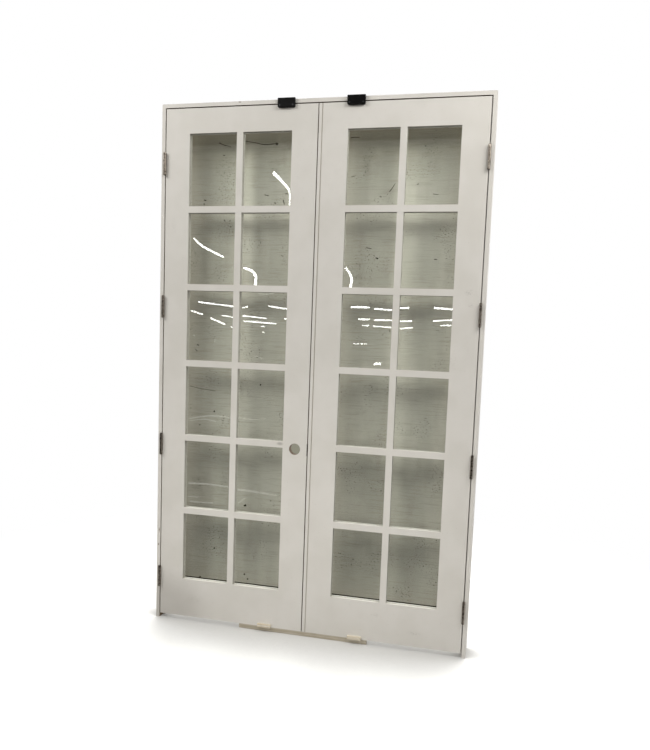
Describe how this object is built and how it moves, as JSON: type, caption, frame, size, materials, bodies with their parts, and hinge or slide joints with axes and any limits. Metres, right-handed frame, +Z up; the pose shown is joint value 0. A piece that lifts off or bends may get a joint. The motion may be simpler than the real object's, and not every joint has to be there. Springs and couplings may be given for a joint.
{
  "type": "french doors",
  "caption": "Pair of glazed interior French doors hung in a wooden frame, with butt hinges, a lock bore, a meeting strip and flush bolts.",
  "frame": {"origin": "middle of the frame's outline seen from above, at the level of the jambs' feet", "axes": "+X to the right seen from the side that the doors open to, +Y through the doorway away from that side, +Z up"},
  "size_m": [1.537, 0.1324, 2.486],
  "materials": {
    "primed_wood": "warm off-white primer, matt",
    "clear_glass": "clear float glass",
    "satin_nickel": "satin nickel plate",
    "zinc_steel": "zinc-plated steel",
    "black_plastic": "moulded black plastic",
    "bare_pine": "sawn pine, unfinished"
  },
  "bodies": {
    "frame": {"head_jamb": "primed_wood", "head_stop": "primed_wood", "left_frame_hinge_screws": "satin_nickel", "left_hinge_1_frame_leaf": "satin_nickel", "left_hinge_2_frame_leaf": "satin_nickel", "left_hinge_3_frame_leaf": "satin_nickel", "left_hinge_4_frame_leaf": "satin_nickel", "left_hinge_pins": "satin_nickel", "left_jamb": "primed_wood", "left_stop": "primed_wood", "right_frame_hinge_screws": "satin_nickel", "right_hinge_1_frame_leaf": "satin_nickel", "right_hinge_2_frame_leaf": "satin_nickel", "right_hinge_3_frame_leaf": "satin_nickel", "right_hinge_4_frame_leaf": "satin_nickel", "right_hinge_pins": "satin_nickel", "right_jamb": "primed_wood", "right_stop": "primed_wood"},
    "left_door": {"lath": "bare_pine", "left_block": "bare_pine", "left_bottom_rail": "primed_wood", "left_clip": "black_plastic", "left_clip_screws": "zinc_steel", "left_door_hinge_screws": "satin_nickel", "left_glazing_beads": "primed_wood", "left_hinge_1_door_leaf": "satin_nickel", "left_hinge_2_door_leaf": "satin_nickel", "left_hinge_3_door_leaf": "satin_nickel", "left_hinge_4_door_leaf": "satin_nickel", "left_hinge_stile": "primed_wood", "left_level_muntins": "primed_wood", "left_lock_stile": "primed_wood", "left_panes": "clear_glass", "left_top_rail": "primed_wood", "left_upright_muntin": "primed_wood"},
    "right_door": {"bottom_bolt_housing": "zinc_steel", "meeting_strip": "primed_wood", "right_block": "bare_pine", "right_bottom_rail": "primed_wood", "right_clip": "black_plastic", "right_clip_screws": "zinc_steel", "right_door_hinge_screws": "satin_nickel", "right_glazing_beads": "primed_wood", "right_hinge_1_door_leaf": "satin_nickel", "right_hinge_2_door_leaf": "satin_nickel", "right_hinge_3_door_leaf": "satin_nickel", "right_hinge_4_door_leaf": "satin_nickel", "right_hinge_stile": "primed_wood", "right_level_muntins": "primed_wood", "right_lock_stile": "primed_wood", "right_panes": "clear_glass", "right_top_rail": "primed_wood", "right_upright_muntin": "primed_wood", "top_bolt_housing": "zinc_steel"},
    "top_bolt": {"top_bolt": "zinc_steel"},
    "bottom_bolt": {"bottom_bolt": "zinc_steel"}
  },
  "joints": [
    {"name": "left_door_swing", "type": "hinge", "parent": "frame", "child": "left_door", "pos_m": [-0.749, -0.05975, 0], "axis": [0, 0, -1], "range_deg": [0, 175]},
    {"name": "right_door_swing", "type": "hinge", "parent": "frame", "child": "right_door", "pos_m": [0.749, -0.05975, 0], "axis": [0, 0, 1], "range_deg": [0, 175]},
    {"name": "top_bolt_slide", "type": "slide", "parent": "right_door", "child": "top_bolt", "axis": [0, 0, 1], "range_m": [0, 0.019]},
    {"name": "bottom_bolt_slide", "type": "slide", "parent": "right_door", "child": "bottom_bolt", "axis": [0, 0, -1], "range_m": [0, 0.038]}
  ]
}
